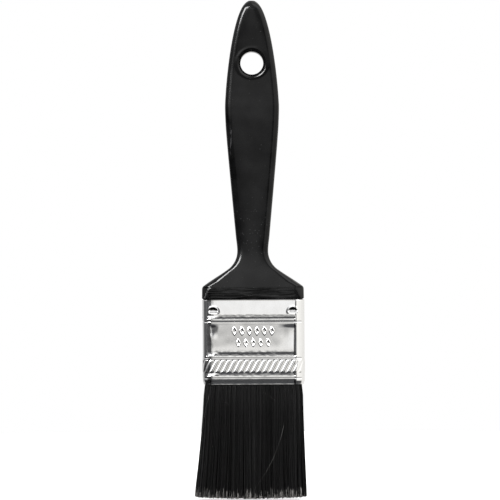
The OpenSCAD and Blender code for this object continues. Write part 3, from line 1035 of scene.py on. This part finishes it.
VIEW_DISTANCE = 1200     # mm
FRAME_HEIGHT = 188.1     # mm of the object's middle plane that the picture shows
AIM_X, AIM_Z = -1.02, -70.16  # mm; what the middle of the picture looks at
ROLL = math.radians(-0.28)
SENSOR = 36
LAMP_W, LAMP_H, LAMP_DISTANCE = 1150, 1600, 2500  # mm
LAMP_TURN, LAMP_RISE = math.radians(-33), math.radians(33.5)  # to the camera's right, above it
LAMP_BRIGHTNESS = 44


def make_camera():
    """A long lens, square on to the front, as in the photo."""
    data = bpy.data.cameras.new("camera")
    data.sensor_width = SENSOR
    data.lens = SENSOR * VIEW_DISTANCE / FRAME_HEIGHT
    data.clip_start, data.clip_end = 0.01, 20
    camera = linked("camera", data)
    camera.location = (AIM_X * MM, -VIEW_DISTANCE * MM, AIM_Z * MM)
    camera.rotation_euler = (math.pi / 2, 0, 0)
    camera.rotation_euler.rotate_axis("Z", ROLL)
    bpy.context.scene.camera = camera
    return camera


def levels(tree, value, low, high, stops):
    """A colour that runs through the stops, each an angle, a brightness and how warm it is."""
    ramp = add(tree, "ValToRGB", {0: stretch(tree, value, low, high)})
    ramp.color_ramp.interpolation = "EASE"
    elements = ramp.color_ramp.elements
    while len(elements) < len(stops):
        elements.new(0.5)
    for element, (angle, bright, warm) in zip(elements, stops):
        element.position = (angle - low) / (high - low)
        element.color = (bright * (1 + 0.4 * warm), bright, bright * (1 - warm), 1)
    return ramp.outputs[0]


def between(tree, value, start, full, fading, end):
    """1 between full and fading, going to 0 at start and end."""
    return product(tree, stretch(tree, value, start, full), stretch(tree, value, fading, end, 1, 0))


# Walls of the room as [degrees to the right of the camera, brightness, warmth]
SIDEWAYS = [
    (-122, 0.55, 0), (-106, 0.08, -0.05), (-6.5, 0.08, -0.05), (-2.2, 1.0, 0), (4, 1.0, 0),
    (6, 0.03, -0.05), (17, 0.03, -0.05), (20, 1.0, 0.035), (150, 0.85, 0.035),
]
# How those walls darken downwards, as [degrees above the camera, brightness, warmth]
UPWARDS = [
    (-75, 0.5, 0), (-48, 0.035, -0.07), (-12, 0.07, -0.06), (-6, 0.33, 0.02), (-3, 0.9, 0.03),
    (0, 0.97, 0),
]
CEILING = (0.88, 0.88, 0.88)


def room_walls(tree, turn, rise, sideways):
    """The walls ahead: filled below the dark gap on the right, darker downwards, bright at the top."""
    dark_gap = between(tree, turn, 4, 6, 17, 20)
    fill = product(tree, dark_gap, stretch(tree, rise, -6, -3, 0.85, 0))
    filled = combine(tree, "ADD", sideways, fill)
    right_glow = stretch(tree, turn, 12, 24, 0, 10)
    downwards = levels(tree, math_node(tree, "ADD", rise, right_glow), -90, 90, UPWARDS)
    flag_top = stretch(tree, turn, 2, 5, 0, 22)
    overhead = stretch(tree, math_node(tree, "SUBTRACT", rise, flag_top), 3, 13)
    return combine(tree, "MULTIPLY", mix(tree, overhead, filled, CEILING), downwards)


def room_lights(tree, turn, rise, direction):
    """Soft bright patches above the camera and beside it, and faint clutter."""
    clutter = add(tree, "TexNoise", {"Vector": direction, "Scale": 6.0, "Detail": 3.0}).outputs[0]
    patches = [
        (1.6, between(tree, turn, -60, -48, -14, -9), between(tree, rise, 3, 10, 40, 55)),
        (1.7, between(tree, turn, 18, 28, 90, 110), stretch(tree, rise, 4, 34)),
        (0.98, between(tree, turn, -18, -10, 10, 18), between(tree, rise, 2.5, 16, 21, 28)),
        (0.22, stretch(tree, clutter, 0.5, 0.75), stretch(tree, rise, -30, 0, 0.4, 1)),
    ]
    total = 0.0
    for brightness, across, up in patches:
        total = math_node(tree, "MULTIPLY_ADD", product(tree, across, up), brightness, total)
    return total


def make_world():
    """A white room with soft light, which turns with the camera so that every side is lit alike.

    Only reflections see the room's pattern: a dim wall to the left, a bright one round the lens, a
    dark gap and a bright wall to the right, a dark lower part and bright patches higher up.
    """
    world = bpy.data.worlds.new("studio")
    world.use_nodes = True
    bpy.context.scene.world = world
    tree = world.node_tree
    direction = add(tree, "TexCoord").outputs["Camera"]
    right, up, away = add(tree, "SeparateXYZ", {0: direction}).outputs
    turn = math_node(tree, "ARCTAN2", right, product(tree, away, -1.0))
    turn = product(tree, turn, 180 / math.pi)
    rise = product(tree, math_node(tree, "ARCSINE", up), 180 / math.pi)

    sideways = levels(tree, turn, -180, 180, SIDEWAYS)
    ahead = combine(tree, "ADD", room_walls(tree, turn, rise, sideways),
                    room_lights(tree, turn, rise, direction))
    behind = stretch(tree, math_node(tree, "ABSOLUTE", turn), 95, 115)
    room = mix(tree, behind, ahead, sideways)

    rays = add(tree, "LightPath").outputs
    seen = mix(tree, rays["Is Glossy Ray"], (1, 1, 1), room)
    tree.links.new(seen, tree.nodes["Background"].inputs["Color"])


def make_lamp(camera):
    """A soft upright lamp that keeps its place beside the camera, aimed at the object."""
    data = bpy.data.lights.new("key", "AREA")
    data.shape = "RECTANGLE"
    data.size, data.size_y = LAMP_W * MM, LAMP_H * MM
    data.energy = LAMP_BRIGHTNESS * math.pi * data.size * data.size_y
    lamp = linked("key", data)
    lamp.parent = camera
    away = LAMP_DISTANCE * MM
    level = math.cos(LAMP_RISE)
    lamp.location = (away * math.sin(LAMP_TURN) * level, away * math.sin(LAMP_RISE),
                     away * math.cos(LAMP_TURN) * level - VIEW_DISTANCE * MM)
    lamp.rotation_euler = (-LAMP_RISE, LAMP_TURN, 0)
    lamp.visible_diffuse = False


def make_floor():
    """A plain white floor at the filaments' tips, bright enough that only contact shadows show."""
    place = (0, 0, (TIPS - 0.2) * MM)
    bpy.ops.mesh.primitive_circle_add(vertices=96, radius=0.45, fill_type="NGON", location=place)
    floor = bpy.context.object
    floor.name = "floor"
    material, tree, shader = new_material("floor_white")
    feed(tree, shader, {"Base Color": (0.85, 0.85, 0.85, 1), "Roughness": 0.9,
                        "Emission Color": (1, 1, 1, 1), "Emission Strength": 0.6})
    floor.data.materials.append(material)
    floor.visible_glossy = False


camera = make_camera()
make_world()
make_lamp(camera)
make_floor()
bpy.context.scene.view_settings.view_transform = "Standard"
